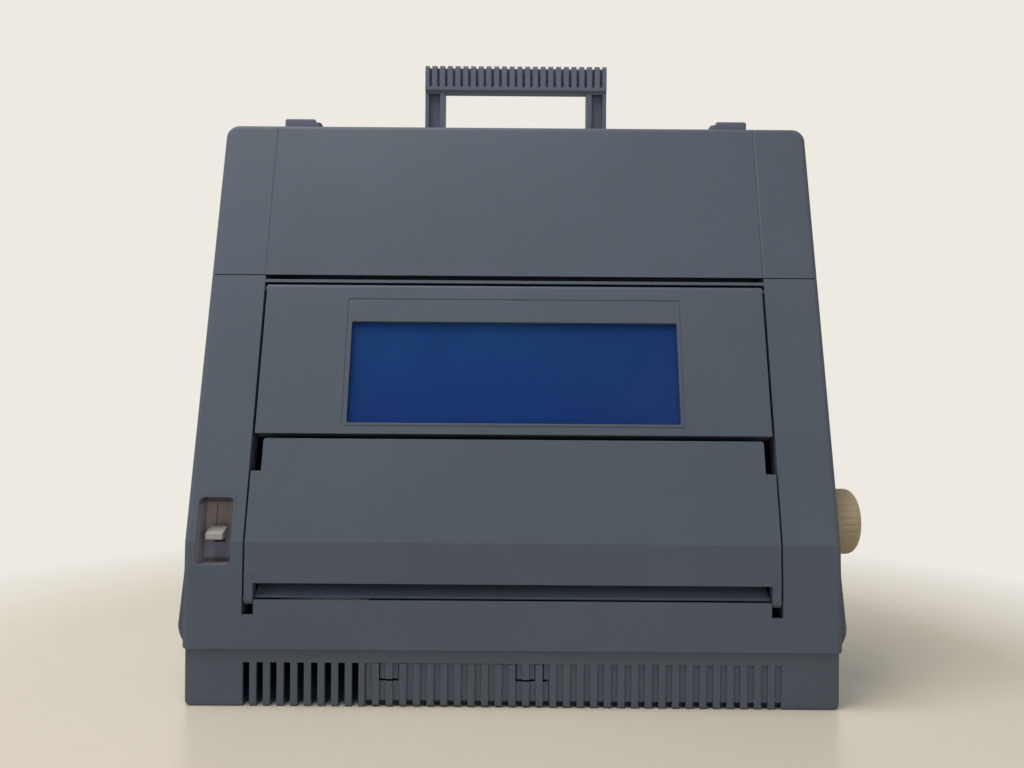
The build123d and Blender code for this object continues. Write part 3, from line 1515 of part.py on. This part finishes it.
pieces = {
    "bottom_case": bottom_case,
    "top_case": top_case,
    "keyboard_cover": keyboard_cover,
    "left_cover_latch": left_cover_latch,
    "right_cover_latch": right_cover_latch,
    "carry_handle": carry_handle,
    "display_bezel": display_bezel,
    "display_window": display_window,
    "lcd_panel": lcd_panel,
    "lcd_board": lcd_board,
    "display_rear_shell": display_rear_shell,
    "paper_support": paper_support,
    "cord_door": cord_door,
    "mains_inlet": mains_inlet,
    "lever_escutcheon": lever_escutcheon,
    "paper_release_lever": paper_release_lever,
    "release_shaft": release_shaft,
    "platen_shaft": platen_shaft,
    "platen_roller": platen_roller,
    "platen_knob": platen_knob,
    "platen_gear": platen_gear,
    "idler_gear": idler_gear,
    "feed_motor_pinion": feed_motor_pinion,
    "feed_motor": feed_motor,
    "feed_rollers": feed_rollers,
    "paper_guide": paper_guide,
    "paper_bail": paper_bail,
    "bail_rollers": bail_rollers,
    "side_frames": side_frames,
    "guide_rods": guide_rods,
    "carriage_frame": carriage_frame,
    "wheel_motor": wheel_motor,
    "print_wheel": print_wheel,
    "hammer_solenoid": hammer_solenoid,
    "print_hammer": print_hammer,
    "ribbon_cassette": ribbon_cassette,
    "supply_spool": supply_spool,
    "take_up_spool": take_up_spool,
    "carriage_belt": carriage_belt,
    "drive_pulley": drive_pulley,
    "idle_pulley": idle_pulley,
    "carriage_motor": carriage_motor,
    "transformer_core": transformer_core,
    "transformer_coil": transformer_coil,
    "power_board": power_board,
    "power_board_parts": power_board_parts,
    "main_board": main_board,
    "main_board_chips": main_board_chips,
    "keyboard_frame": keyboard_frame,
    "keyboard_board": keyboard_board,
    "number_row_keys": number_row_keys,
    "upper_row_keys": upper_row_keys,
    "home_row_keys": home_row_keys,
    "lower_row_keys": lower_row_keys,
    "function_keys": function_keys,
    "space_bar": space_bar,
    "switch_housing": switch_housing,
    "power_switch": power_switch,
    "rubber_feet": rubber_feet,
    "case_screws": case_screws,
}

os.makedirs("parts", exist_ok=True)
for label, piece in pieces.items():
    piece.part.label = label
    export_step(piece.part, f"parts/{label}.step")
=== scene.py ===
import math

import bpy
from mathutils import Matrix, Vector

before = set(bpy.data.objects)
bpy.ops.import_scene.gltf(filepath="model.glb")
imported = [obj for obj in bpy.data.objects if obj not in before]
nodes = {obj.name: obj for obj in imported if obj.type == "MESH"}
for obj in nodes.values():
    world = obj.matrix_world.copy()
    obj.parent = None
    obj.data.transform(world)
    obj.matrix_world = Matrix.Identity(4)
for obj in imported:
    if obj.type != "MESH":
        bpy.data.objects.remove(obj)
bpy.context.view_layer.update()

scene = bpy.context.scene

# Top face of the machine: a deck and a steeper slope that meet at the crease
CREASE_Z = 0.1004
CREASE_Y = -0.065925
DECK_SLOPE = 0.055
FACE_SLOPE = math.tan(math.radians(16.04))

# Where one colour fades into the next: places in the frame, and depths beneath the top face
# Heights over which the LCD's painted reflection grows, and places over which painted shade darkens
# its right side
LCD_REFLECTION_HEIGHTS = (0.165, 0.250)
LCD_SHADED_RIGHT = (-0.02, 0.11)
RIM_DEPTHS = (0.0006, 0.0012)
RECESS_FOOT = (0.107, 0.099)
# Heights over which the painted shadow under the recess's top rim fades in
RECESS_RIM_SHADOW = (0.1215, 0.1225)
# Depths beyond which the lever's arm and shield are painted lighter to stand in for light in their
# shade
LEVER_SHIELD_LIT_DEPTHS = (0.0135, 0.0145)

# Heights of the surface grain of hard plastic and of other stuff, and radii of soft edges and of paler
# edges that show wear and a painted highlight
PLASTIC_GRAIN = 0.0004
OTHER_GRAIN = 0.0003
SOFT_EDGE = 0.0003
WORN_HIGHLIT_EDGE = 0.0007

# Cosine between a surface's own direction and its rounded one: on open faces, and on sharp edges
EDGE_COSINES = (0.985, 0.8)

# Camera, floor and light
CAMERA_PLACE = (-0.0013, -0.6365, 0.1985)
CAMERA_ROLL = math.radians(-0.42)
LENS = 32.66
FLOOR_FADE = (0.36, 0.62)
WORLD_LEVEL = 0.25


def linear(red, green, blue):
    """Scene linear colour of an sRGB colour given from 0 to 255."""
    out = []
    for value in (red, green, blue):
        share = value / 255
        out.append(share / 12.92 if share <= 0.04045 else ((share + 0.055) / 1.055) ** 2.4)
    return (*out, 1.0)


def scaled(colour, factor):
    return tuple(min(1.0, channel * factor) for channel in colour[:3]) + (1.0,)


CASE = linear(82, 91, 103)
WALL = linear(238, 234, 226)
GROUND = linear(216, 207, 190)
SKY = linear(244, 242, 238)


# Shader nodes
class Nodes:
    """Adds and links the nodes of one shader node tree."""

    def __init__(self, tree):
        self.tree = tree

    def add(self, kind, **values):
        node = self.tree.nodes.new(kind)
        for name, value in values.items():
            setattr(node, name, value)
        return node

    def link(self, source, target):
        self.tree.links.new(source, target)

    def feed(self, value, socket):
        """Set a socket to a plain number or colour, or link another socket to it."""
        if isinstance(value, (int, float, tuple)):
            socket.default_value = value
        else:
            self.link(value, socket)

    def math(self, operation, first, second=0.0):
        node = self.add("ShaderNodeMath", operation=operation)
        self.feed(first, node.inputs[0])
        self.feed(second, node.inputs[1])
        return node.outputs["Value"]

    def axes(self, vector):
        """X, Y and Z of a vector, by name."""
        node = self.add("ShaderNodeSeparateXYZ")
        self.link(vector, node.inputs[0])
        return node.outputs

    def seen_rays(self):
        """1 for rays from the camera, mirrored rays and rays through a clear piece."""
        rays = self.add("ShaderNodeLightPath")
        seen = self.math("MAXIMUM", rays.outputs["Is Camera Ray"], rays.outputs["Is Glossy Ray"])
        return self.math("MAXIMUM", seen, rays.outputs["Is Transmission Ray"])

    def blend(self, share, first, second):
        """Mix of two shaders."""
        node = self.add("ShaderNodeMixShader")
        self.link(share, node.inputs["Fac"])
        self.link(first, node.inputs[1])
        self.link(second, node.inputs[2])
        return node.outputs["Shader"]


class Look(Nodes):
    """Nodes of one new material, with the patterns that its colours are made of."""

    def __init__(self, name):
        self.material = bpy.data.materials.new(name)
        self.material.use_nodes = True
        super().__init__(self.material.node_tree)
        self.shader = self.tree.nodes["Principled BSDF"]
        self.output = self.tree.nodes["Material Output"]
        self.place = self.add("ShaderNodeTexCoord").outputs["Object"]

    def stretched(self, stretch):
        if stretch is None:
            return self.place
        mapping = self.add("ShaderNodeMapping")
        mapping.inputs["Scale"].default_value = stretch
        self.link(self.place, mapping.inputs["Vector"])
        return mapping.outputs["Vector"]

    def noise(self, scale, detail=2.0, roughness=0.5, stretch=None):
        node = self.add("ShaderNodeTexNoise")
        node.inputs["Scale"].default_value = scale
        node.inputs["Detail"].default_value = detail
        node.inputs["Roughness"].default_value = roughness
        self.link(self.stretched(stretch), node.inputs["Vector"])
        return node.outputs["Fac"]

    def spread(self, source, low, high, out_low=0.0, out_high=1.0):
        """Value that goes from out_low to out_high while the source goes from low to high."""
        node = self.add("ShaderNodeMapRange")
        node.inputs["From Min"].default_value = low
        node.inputs["From Max"].default_value = high
        node.inputs["To Min"].default_value = out_low
        node.inputs["To Max"].default_value = out_high
        self.link(source, node.inputs["Value"])
        return node.outputs["Result"]

    def mix(self, share, first, second):
        """Mix of two colours."""
        node = self.add("ShaderNodeMix", data_type="RGBA")
        colours = [socket for socket in node.inputs if socket.type == "RGBA"]
        self.feed(first, colours[0])
        self.feed(second, colours[1])
        self.link(share, node.inputs["Factor"])
        return [socket for socket in node.outputs if socket.type == "RGBA"][0]

    def facing(self):
        """Direction that the surface faces."""
        return self.add("ShaderNodeNewGeometry").outputs["Normal"]

    def rounded(self, radius):
        """Direction that the surface would face if its edges had this radius."""
        bevel = self.add("ShaderNodeBevel", samples=4)
        bevel.inputs["Radius"].default_value = radius
        return bevel.outputs["Normal"]

    def worn_highlit_edges(self, base, radius, share, colour):
        """Another colour over the base along its sharp edges; in use a paler one, which stands for
        wear and a painted highlight.
        """
        dot = self.add("ShaderNodeVectorMath", operation="DOT_PRODUCT")
        self.link(self.rounded(radius), dot.inputs[0])
        self.link(self.facing(), dot.inputs[1])
        edge = self.spread(dot.outputs["Value"], *EDGE_COSINES)
        return self.mix(self.math("MULTIPLY", edge, share), base, colour)

    def face_depth(self):
        """Depth beneath the machine's top face, which bends at the crease."""
        place = self.axes(self.place)
        height = self.math("SUBTRACT", place["Z"], CREASE_Z)
        slant = self.math("MULTIPLY", height, FACE_SLOPE)
        deck = self.math("MULTIPLY", height, DECK_SLOPE)
        face = self.math("MAXIMUM", slant, deck)
        return self.math("SUBTRACT", self.math("SUBTRACT", place["Y"], CREASE_Y), face)

    def bump(self, height, strength, distance, base=None):
        node = self.add("ShaderNodeBump")
        node.inputs["Strength"].default_value = strength
        node.inputs["Distance"].default_value = distance
        self.link(height, node.inputs["Height"])
        if base is not None:
            self.link(base, node.inputs["Normal"])
        return node.outputs["Normal"]

    def surface(self, values):
        """Give the shader's sockets their numbers or links, and return the material."""
        for name, value in values.items():
            self.feed(value, self.shader.inputs[name])
        return self.material


# Materials
def plastic(name, colour, roughness=0.55, variation=0.05, wear_and_highlight=0.25):
    """Moulded plastic: spark texture, faint blotches, dust, and paler edges that are wear and a
    painted highlight.
    """
    look = Look(name)
    blotch = look.noise(9.0, detail=3.0, roughness=0.6)
    fine = look.noise(1500.0, detail=2.0, roughness=0.6)
    cloud = look.noise(60.0, detail=4.0, roughness=0.65)
    dull, fresh = scaled(colour, 1.0 - variation), scaled(colour, 1.0 + variation)
    base = look.mix(look.spread(blotch, 0.35, 0.65), dull, fresh)
    pale_share = look.spread(cloud, 0.3, 0.8, 0.0, 0.35)
    base = look.mix(pale_share, base, scaled(colour, 1.0 + 1.6 * variation))
    dust = look.spread(look.noise(1050.0, detail=1.0), 0.62, 0.72, 0.0, 0.12)
    base = look.mix(dust, base, scaled(colour, 1.5))
    patchy = look.spread(look.noise(140.0, detail=3.0), 0.3, 0.6, 0.35, 1.0)
    base = look.worn_highlit_edges(base, WORN_HIGHLIT_EDGE, look.math("MULTIPLY", patchy, wear_and_highlight), scaled(colour, 1.9))
    return look.surface({
        "Base Color": base,
        "Roughness": look.spread(cloud, 0.2, 0.8, roughness - 0.05, roughness + 0.06),
        "Specular IOR Level": 0.2,
        "Normal": look.bump(fine, strength=0.12, distance=PLASTIC_GRAIN, base=look.rounded(SOFT_EDGE)),
    })


def metal(name, colour):
    """Plated or drawn metal with a brushed direction and light tarnish."""
    look = Look(name)
    streak = look.noise(1.0, detail=3.0, roughness=0.6, stretch=(40.0, 900.0, 900.0))
    patch = look.noise(55.0, detail=3.0, roughness=0.6)
    return look.surface({
        "Base Color": look.mix(look.spread(patch, 0.3, 0.7), scaled(colour, 0.9), scaled(colour, 1.1)),
        "Metallic": 0.9,
        "Roughness": look.spread(streak, 0.2, 0.8, 0.27, 0.45),
        "Normal": look.bump(streak, strength=0.08, distance=OTHER_GRAIN),
    })


def soft_rubber(name, colour, grain=700.0):
    """Ground or moulded rubber with a fine matte tooth."""
    look = Look(name)
    patch = look.noise(25.0, detail=4.0, roughness=0.6)
    fine = look.noise(grain, 3.0, 0.7)
    base = look.mix(look.spread(patch, 0.3, 0.7), scaled(colour, 0.85), scaled(colour, 1.25))
    return look.surface({
        # Paler edges: wear and a painted highlight
        "Base Color": look.worn_highlit_edges(base, 0.0006, 0.3, scaled(colour, 2.0)),
        "Roughness": look.spread(patch, 0.2, 0.8, 0.68, 0.82),
        "Normal": look.bump(fine, strength=0.25, distance=OTHER_GRAIN),
    })


def solder_mask(name):
    """Green circuit board with fine pale tracks under the lacquer."""
    look = Look(name)
    green = linear(34, 92, 58)
    brick = look.add("ShaderNodeTexBrick", offset=0.5)
    brick.inputs["Scale"].default_value = 90.0
    brick.inputs["Mortar Size"].default_value = 0.03
    brick.inputs["Color1"].default_value = green
    brick.inputs["Color2"].default_value = scaled(green, 1.15)
    brick.inputs["Mortar"].default_value = scaled(green, 1.9)
    look.link(look.place, brick.inputs["Vector"])
    patch = look.noise(18.0, detail=3.0)
    dark_share = look.spread(patch, 0.3, 0.7, 0.0, 0.3)
    return look.surface({
        "Base Color": look.mix(dark_share, brick.outputs["Color"], scaled(green, 0.7)),
        "Roughness": look.spread(patch, 0.2, 0.8, 0.3, 0.45),
        "Normal": look.bump(brick.outputs["Fac"], strength=0.2, distance=0.0001),
    })


def wound_copper(name):
    """Varnished winding: fine parallel turns around the coil."""
    look = Look(name)
    copper = linear(166, 104, 52)
    wave = look.add("ShaderNodeTexWave", bands_direction="Z")
    wave.inputs["Scale"].default_value = 400.0
    wave.inputs["Distortion"].default_value = 0.4
    look.link(look.place, wave.inputs["Vector"])
    turns = wave.outputs["Fac"]
    return look.surface({
        "Base Color": look.mix(turns, scaled(copper, 0.6), scaled(copper, 1.2)),
        "Roughness": look.spread(look.noise(80.0), 0.2, 0.8, 0.3, 0.5),
        "Metallic": 0.4,
        "Normal": look.bump(turns, strength=0.4, distance=OTHER_GRAIN),
    })


def blue_glass(name):
    """Blue panel behind the window: mottled, greener and lighter towards its top from a painted
    reflection, and darker on its right from painted shade.
    """
    look = Look(name)
    deep = linear(28, 64, 144)
    teal_mottle_and_reflection = linear(27, 116, 158)
    dark = linear(36, 54, 134)
    broad = look.noise(9.0, detail=2.0, roughness=0.5, stretch=(1.0, 1.0, 1.6))
    fine = look.noise(260.0, detail=2.0, roughness=0.5)
    low = look.noise(13.0, detail=2.0, roughness=0.5, stretch=(1.4, 1.0, 1.0))
    place = look.axes(look.place)
    # Painted reflection: greener and lighter towards the top of the panel
    reflection_upward = look.spread(place["Z"], *LCD_REFLECTION_HEIGHTS)
    mottle_and_reflection = look.math("ADD", look.math("MULTIPLY", broad, 0.6), look.math("MULTIPLY", reflection_upward, 0.4))
    base = look.mix(look.spread(mottle_and_reflection, 0.4, 0.75), deep, teal_mottle_and_reflection)
    base = look.mix(look.spread(low, 0.5, 0.75, 0.0, 0.6), base, dark)
    # Painted shade: darker towards the right of the panel
    shade_rightward = look.spread(place["X"], *LCD_SHADED_RIGHT, 0.0, 0.75)
    base = look.mix(shade_rightward, base, scaled(deep, 0.7))
    base = look.mix(look.spread(fine, 0.3, 0.7, 0.0, 0.35), base, scaled(deep, 0.75))
    return look.surface({
        "Base Color": base,
        "Roughness": look.spread(broad, 0.2, 0.8, 0.3, 0.42),
        "Specular IOR Level": 0.1,
        "Normal": look.bump(fine, strength=0.04, distance=0.0002),
    })


def recess_plastic(name):
    """Plate of the lever recess: rim as the case, grey walls, a brown floor with a bluer foot, and a
    painted shadow under the top rim.
    """
    look = Look(name)
    blotch = look.noise(30.0, detail=3.0, roughness=0.6)
    fine = look.noise(1500.0, detail=2.0, roughness=0.6)
    height = look.axes(look.place)["Z"]
    facing = look.axes(look.facing())
    inward = look.spread(look.face_depth(), *RIM_DEPTHS)
    flat = look.spread(look.math("ABSOLUTE", facing["Y"]), 0.6, 0.9)
    brown = look.mix(look.spread(blotch, 0.3, 0.7), linear(164, 154, 153), linear(178, 168, 166))
    brown = look.mix(look.spread(height, *RECESS_FOOT), brown, linear(146, 149, 168))
    walls = look.mix(inward, CASE, linear(150, 148, 156))
    base = look.mix(look.math("MULTIPLY", flat, inward), walls, brown)
    # Painted shadow cast by the recess's top rim over the top of the floor
    rim_shadow = look.math("MULTIPLY", look.spread(height, *RECESS_RIM_SHADOW), inward)
    base = look.mix(rim_shadow, base, linear(112, 106, 118))
    ledge = look.math("MULTIPLY", look.spread(facing["Z"], 0.25, 0.7), inward)
    base = look.mix(ledge, base, linear(102, 97, 102))
    return look.surface({
        # Paler edges: wear and a painted highlight
        "Base Color": look.worn_highlit_edges(base, 0.0006, 0.2, scaled(CASE, 1.9)),
        "Roughness": look.spread(blotch, 0.2, 0.8, 0.5, 0.62),
        "Specular IOR Level": 0.2,
        "Normal": look.bump(fine, strength=0.1, distance=PLASTIC_GRAIN),
    })


def lever_plastic(name):
    """Pale lever: bright on its fingertip, browner on the arm and shield behind the recess, which are
    painted lighter to stand in for light in their shade.
    """
    look = Look(name)
    blotch = look.noise(40.0, detail=3.0, roughness=0.6)
    fine = look.noise(1300.0, detail=2.0, roughness=0.6)
    mottle = look.spread(blotch, 0.3, 0.7)
    pale = look.mix(mottle, linear(158, 157, 157), linear(168, 167, 166))
    # Painted light: the arm and shield deep in the recess are lighter to offset their shade
    shield_painted_light = look.mix(mottle, linear(172, 161, 159), linear(186, 175, 172))
    base = look.mix(look.spread(look.face_depth(), *LEVER_SHIELD_LIT_DEPTHS), pale, shield_painted_light)
    return look.surface({
        # Paler edges: wear and a painted highlight
        "Base Color": look.worn_highlit_edges(base, 0.0005, 0.2, linear(214, 211, 206)),
        "Roughness": look.spread(blotch, 0.2, 0.8, 0.42, 0.52),
        "Specular IOR Level": 0.2,
        "Normal": look.bump(fine, strength=0.1, distance=PLASTIC_GRAIN),
    })


def clear_sheet(name):
    """Tinted window: half see-through, with faint dust and a soft gloss."""
    look = Look(name)
    dust = look.noise(420.0, detail=3.0, roughness=0.7)
    dust_share = look.spread(dust, 0.5, 0.8, 0.0, 0.12)
    return look.surface({
        "Base Color": look.mix(dust_share, linear(27, 66, 138), linear(70, 100, 158)),
        "Alpha": 0.5,
        "Specular IOR Level": 0.12,
        "Roughness": look.spread(dust, 0.3, 0.7, 0.12, 0.2),
    })


looks = {
    "case_plastic": plastic("case_plastic", CASE),
    "handle_plastic": plastic("handle_plastic", linear(98, 104, 121), wear_and_highlight=0.35),
    "guide_plastic": plastic("guide_plastic", linear(94, 103, 118), wear_and_highlight=0.15),
    "dark_plastic": plastic("dark_plastic", linear(52, 54, 59), roughness=0.5, wear_and_highlight=0.2),
    "display_blue": blue_glass("display_blue"),
    "clear_window": clear_sheet("clear_window"),
    "knob_plastic": plastic(
        "knob_plastic", linear(174, 158, 130), roughness=0.45, variation=0.07, wear_and_highlight=0.12
    ),
    "lever_plastic": lever_plastic("lever_plastic"),
    "recess_plastic": recess_plastic("recess_plastic"),
    "rubber": soft_rubber("rubber", linear(34, 34, 36)),
    "steel": metal("steel", linear(172, 174, 176)),
    "board": solder_mask("board"),
    "black_parts": plastic("black_parts", linear(30, 30, 32), roughness=0.4, wear_and_highlight=0.2),
    "copper_coil": wound_copper("copper_coil"),
    "gear_plastic": plastic("gear_plastic", linear(224, 220, 206), roughness=0.4, wear_and_highlight=0.05),
    "key_plastic": plastic("key_plastic", linear(196, 190, 172), roughness=0.5, wear_and_highlight=0.1),
    "belt_rubber": soft_rubber("belt_rubber", linear(28, 28, 29), grain=1100.0),
}

PIECES_OF = {
    "case_plastic": (
        "bottom_case", "top_case", "keyboard_cover", "display_bezel", "display_rear_shell",
        "paper_support", "cord_door", "keyboard_frame",
    ),
    "handle_plastic": ("carry_handle", "left_cover_latch", "right_cover_latch"),
    "guide_plastic": ("paper_guide",),
    "dark_plastic": ("carriage_frame", "print_wheel"),
    "display_blue": ("lcd_panel",),
    "clear_window": ("display_window",),
    "knob_plastic": ("platen_knob",),
    "lever_plastic": ("paper_release_lever",),
    "recess_plastic": ("lever_escutcheon",),
    "rubber": ("platen_roller", "feed_rollers", "bail_rollers", "rubber_feet"),
    "steel": (
        "release_shaft", "platen_shaft", "feed_motor_pinion", "feed_motor", "paper_bail",
        "side_frames", "guide_rods", "wheel_motor", "print_hammer", "carriage_motor",
        "transformer_core", "case_screws",
    ),
    "board": ("lcd_board", "power_board", "main_board", "keyboard_board"),
    "black_parts": (
        "mains_inlet", "hammer_solenoid", "ribbon_cassette", "power_board_parts",
        "main_board_chips", "switch_housing", "power_switch",
    ),
    "copper_coil": ("transformer_coil",),
    "gear_plastic": (
        "platen_gear", "idler_gear", "supply_spool", "take_up_spool", "drive_pulley",
        "idle_pulley",
    ),
    "key_plastic": (
        "number_row_keys", "upper_row_keys", "home_row_keys", "lower_row_keys",
        "function_keys", "space_bar",
    ),
    "belt_rubber": ("carriage_belt",),
}

look_of = {piece: looks[name] for name, pieces in PIECES_OF.items() for piece in pieces}
for piece, node in nodes.items():
    node.data.materials.clear()
    node.data.materials.append(look_of[piece])


# Floor, light and camera
def make_floor():
    """Plain pale floor that fades into the colour of the wall."""
    look = Look("floor")
    patch = look.spread(look.noise(3.0, detail=3.0, roughness=0.6), 0.3, 0.7)
    material = look.surface({
        "Base Color": look.mix(patch, scaled(GROUND, 0.98), scaled(GROUND, 1.02)),
        "Roughness": 0.32,
        "Specular IOR Level": 0.4,
    })
    length = look.add("ShaderNodeVectorMath", operation="LENGTH")
    look.link(look.place, length.inputs[0])
    far = look.spread(length.outputs["Value"], *FLOOR_FADE)
    glow = look.add("ShaderNodeEmission")
    glow.inputs["Color"].default_value = WALL
    share = look.math("MULTIPLY", far, look.seen_rays())
    faded = look.blend(share, look.shader.outputs["BSDF"], glow.outputs["Emission"])
    look.link(faded, look.output.inputs["Surface"])
    mesh = bpy.data.meshes.new("floor")
    size = FLOOR_FADE[1] * 3
    corners = [(-size, -size, 0), (size, -size, 0), (size, size, 0), (-size, size, 0)]
    mesh.from_pydata(corners, [], [(0, 1, 2, 3)])
    mesh.materials.append(material)
    floor = bpy.data.objects.new("floor", mesh)
    scene.collection.objects.link(floor)


def make_world():
    """Even dim light from all sides, which looks like a pale wall."""
    world = bpy.data.worlds.new("world")
    scene.world = world
    world.use_nodes = True
    sky = Nodes(world.node_tree)
    sky.tree.nodes.clear()
    light = sky.add("ShaderNodeBackground")
    light.inputs["Color"].default_value = SKY
    light.inputs["Strength"].default_value = WORLD_LEVEL
    wall = sky.add("ShaderNodeBackground")
    wall.inputs["Color"].default_value = WALL
    mixed = sky.blend(sky.seen_rays(), light.outputs["Background"], wall.outputs["Background"])
    sky.link(mixed, sky.add("ShaderNodeOutputWorld").inputs["Surface"])


def area_lamp(name, place, target, size, power, colour):
    light = bpy.data.lights.new(name, "AREA")
    light.shape = "RECTANGLE"
    light.size, light.size_y = size
    light.energy = power
    light.color = colour
    lamp = bpy.data.objects.new(name, light)
    scene.collection.objects.link(lamp)
    lamp.location = place
    lamp.rotation_euler = (Vector(target) - Vector(place)).to_track_quat("-Z", "Y").to_euler()


def make_camera():
    """Level camera that looks along +Y."""
    view = bpy.data.cameras.new("camera")
    view.lens = LENS
    view.sensor_width = 36.0
    view.clip_start = 0.01
    camera = bpy.data.objects.new("camera", view)
    scene.collection.objects.link(camera)
    turn = Matrix.Rotation(CAMERA_ROLL, 4, "Y") @ Matrix.Rotation(math.radians(90), 4, "X")
    camera.matrix_world = Matrix.Translation(CAMERA_PLACE) @ turn
    scene.camera = camera


make_floor()
make_world()
area_lamp("key_lamp", (-0.4, -0.3, 1.5), (0.0, -0.05, 0.2), (0.9, 0.7), 17.5, (1.0, 0.99, 0.97))
area_lamp("fill_lamp", (0.9, -1.5, 0.7), (0.0, 0.0, 0.2), (1.2, 1.2), 3.7, (0.95, 0.98, 1.0))
area_lamp("side_lamp", (-1.1, -0.7, 0.45), (-0.1, -0.05, 0.2), (0.5, 0.8), 2.2, (0.97, 0.99, 1.0))
make_camera()
scene.view_settings.view_transform = "Standard"
